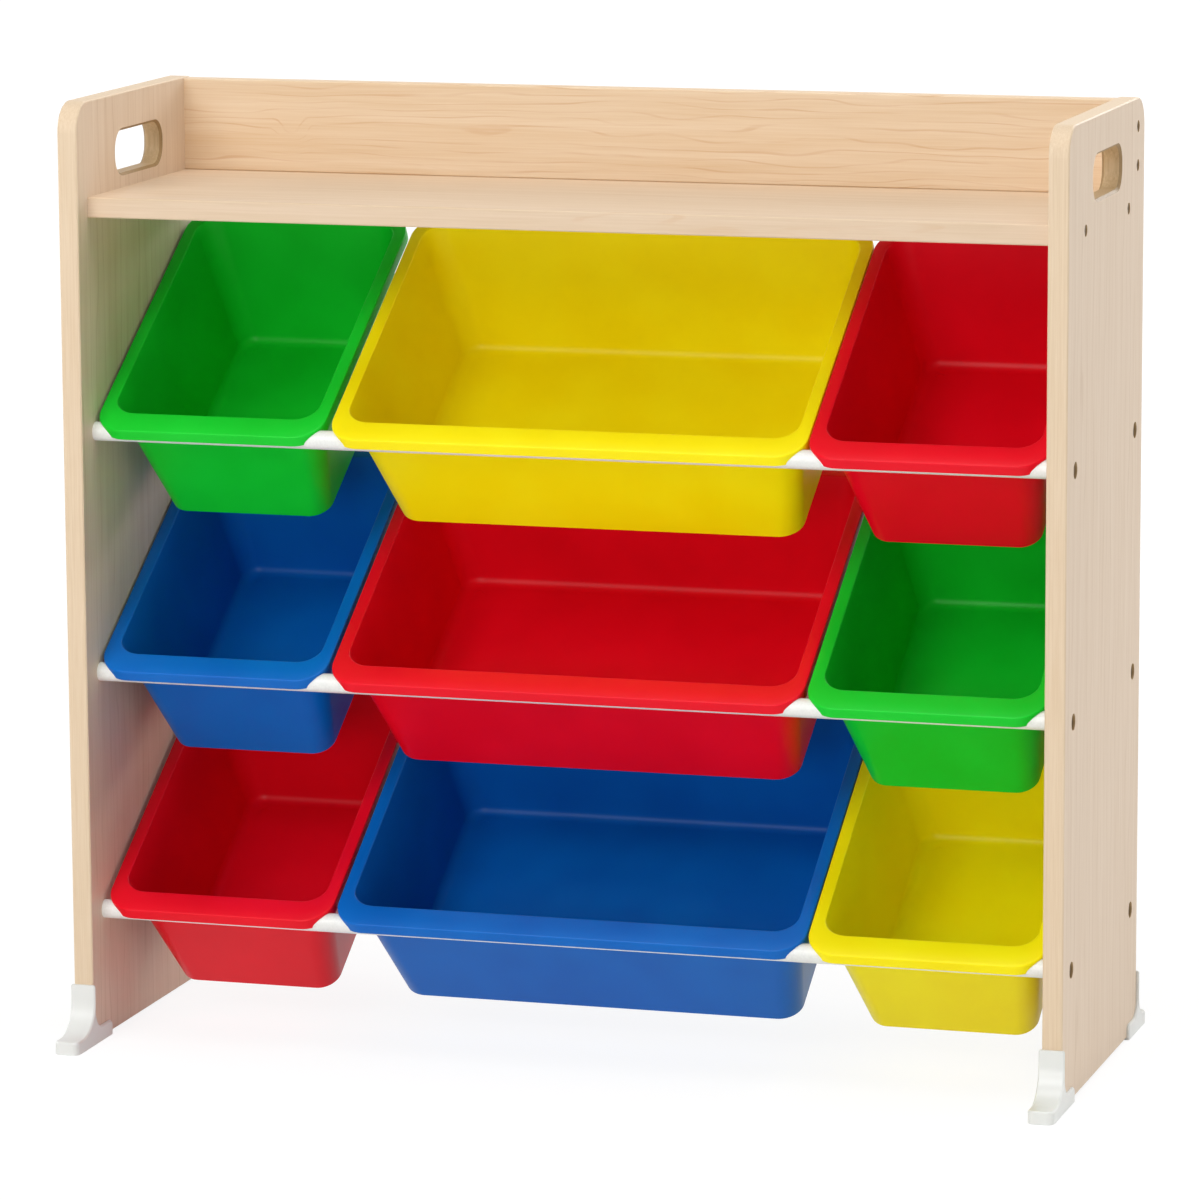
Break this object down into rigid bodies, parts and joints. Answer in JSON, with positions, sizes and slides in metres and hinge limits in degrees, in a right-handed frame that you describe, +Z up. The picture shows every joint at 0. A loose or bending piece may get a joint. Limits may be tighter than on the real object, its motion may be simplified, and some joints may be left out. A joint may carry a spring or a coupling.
{
  "type": "toy storage organizer with bins",
  "caption": "Low open rack with wood-grain side panels and top shelf, steel rails, and removable coloured plastic bins that lean forward on the rails in tiers.",
  "frame": {"origin": "on the floor, in the middle of the floor space between the toes of the feet", "axes": "+Z up, -Y towards the front, +X to the right as seen from the front"},
  "size_m": [0.865, 0.364, 0.8025],
  "materials": {
    "laminated_board": "satin wood-grain laminate",
    "coated_tube": "white powder coat",
    "plug_plastic": "satin",
    "foot_plastic": "gloss",
    "zinc_steel": "zinc-plated",
    "green_plastic": "gloss moulded polypropylene",
    "yellow_plastic": "gloss moulded polypropylene",
    "red_plastic": "gloss moulded polypropylene",
    "blue_plastic": "gloss moulded polypropylene"
  },
  "bodies": {
    "frame": {"left_side_panel": "laminated_board", "right_side_panel": "laminated_board", "top_shelf": "laminated_board", "back_board": "laminated_board", "front_rail_top": "coated_tube", "rear_rail_top": "coated_tube", "front_rail_middle": "coated_tube", "rear_rail_middle": "coated_tube", "front_rail_bottom": "coated_tube", "rear_rail_bottom": "coated_tube", "rail_plugs_left": "plug_plastic", "rail_plugs_right": "plug_plastic", "rail_screws_left": "zinc_steel", "rail_screws_right": "zinc_steel", "shelf_screws_left": "zinc_steel", "shelf_screws_right": "zinc_steel", "back_board_screws_left": "zinc_steel", "back_board_screws_right": "zinc_steel", "front_left_foot": "foot_plastic", "front_right_foot": "foot_plastic", "rear_left_foot": "foot_plastic", "rear_right_foot": "foot_plastic"},
    "green_bin_top_left": {"green_bin_top_left": "green_plastic"},
    "yellow_bin_top_middle": {"yellow_bin_top_middle": "yellow_plastic"},
    "red_bin_top_right": {"red_bin_top_right": "red_plastic"},
    "blue_bin_middle_left": {"blue_bin_middle_left": "blue_plastic"},
    "red_bin_middle_middle": {"red_bin_middle_middle": "red_plastic"},
    "green_bin_middle_right": {"green_bin_middle_right": "green_plastic"},
    "red_bin_bottom_left": {"red_bin_bottom_left": "red_plastic"},
    "blue_bin_bottom_middle": {"blue_bin_bottom_middle": "blue_plastic"},
    "yellow_bin_bottom_right": {"yellow_bin_bottom_right": "yellow_plastic"}
  },
  "joints": [
    {"name": "green_bin_top_left_lift", "type": "slide", "parent": "frame", "child": "green_bin_top_left", "axis": [0, -0.5323, 0.8466], "range_m": [0, 0.02]},
    {"name": "yellow_bin_top_middle_lift", "type": "slide", "parent": "frame", "child": "yellow_bin_top_middle", "axis": [0, -0.5323, 0.8466], "range_m": [0, 0.02]},
    {"name": "red_bin_top_right_lift", "type": "slide", "parent": "frame", "child": "red_bin_top_right", "axis": [0, -0.5323, 0.8466], "range_m": [0, 0.02]},
    {"name": "blue_bin_middle_left_lift", "type": "slide", "parent": "frame", "child": "blue_bin_middle_left", "axis": [0, -0.5323, 0.8466], "range_m": [0, 0.045]},
    {"name": "red_bin_middle_middle_lift", "type": "slide", "parent": "frame", "child": "red_bin_middle_middle", "axis": [0, -0.5323, 0.8466], "range_m": [0, 0.045]},
    {"name": "green_bin_middle_right_lift", "type": "slide", "parent": "frame", "child": "green_bin_middle_right", "axis": [0, -0.5323, 0.8466], "range_m": [0, 0.045]},
    {"name": "red_bin_bottom_left_lift", "type": "slide", "parent": "frame", "child": "red_bin_bottom_left", "axis": [0, -0.5323, 0.8466], "range_m": [0, 0.045]},
    {"name": "blue_bin_bottom_middle_lift", "type": "slide", "parent": "frame", "child": "blue_bin_bottom_middle", "axis": [0, -0.5323, 0.8466], "range_m": [0, 0.045]},
    {"name": "yellow_bin_bottom_right_lift", "type": "slide", "parent": "frame", "child": "yellow_bin_bottom_right", "axis": [0, -0.5323, 0.8466], "range_m": [0, 0.045]}
  ]
}
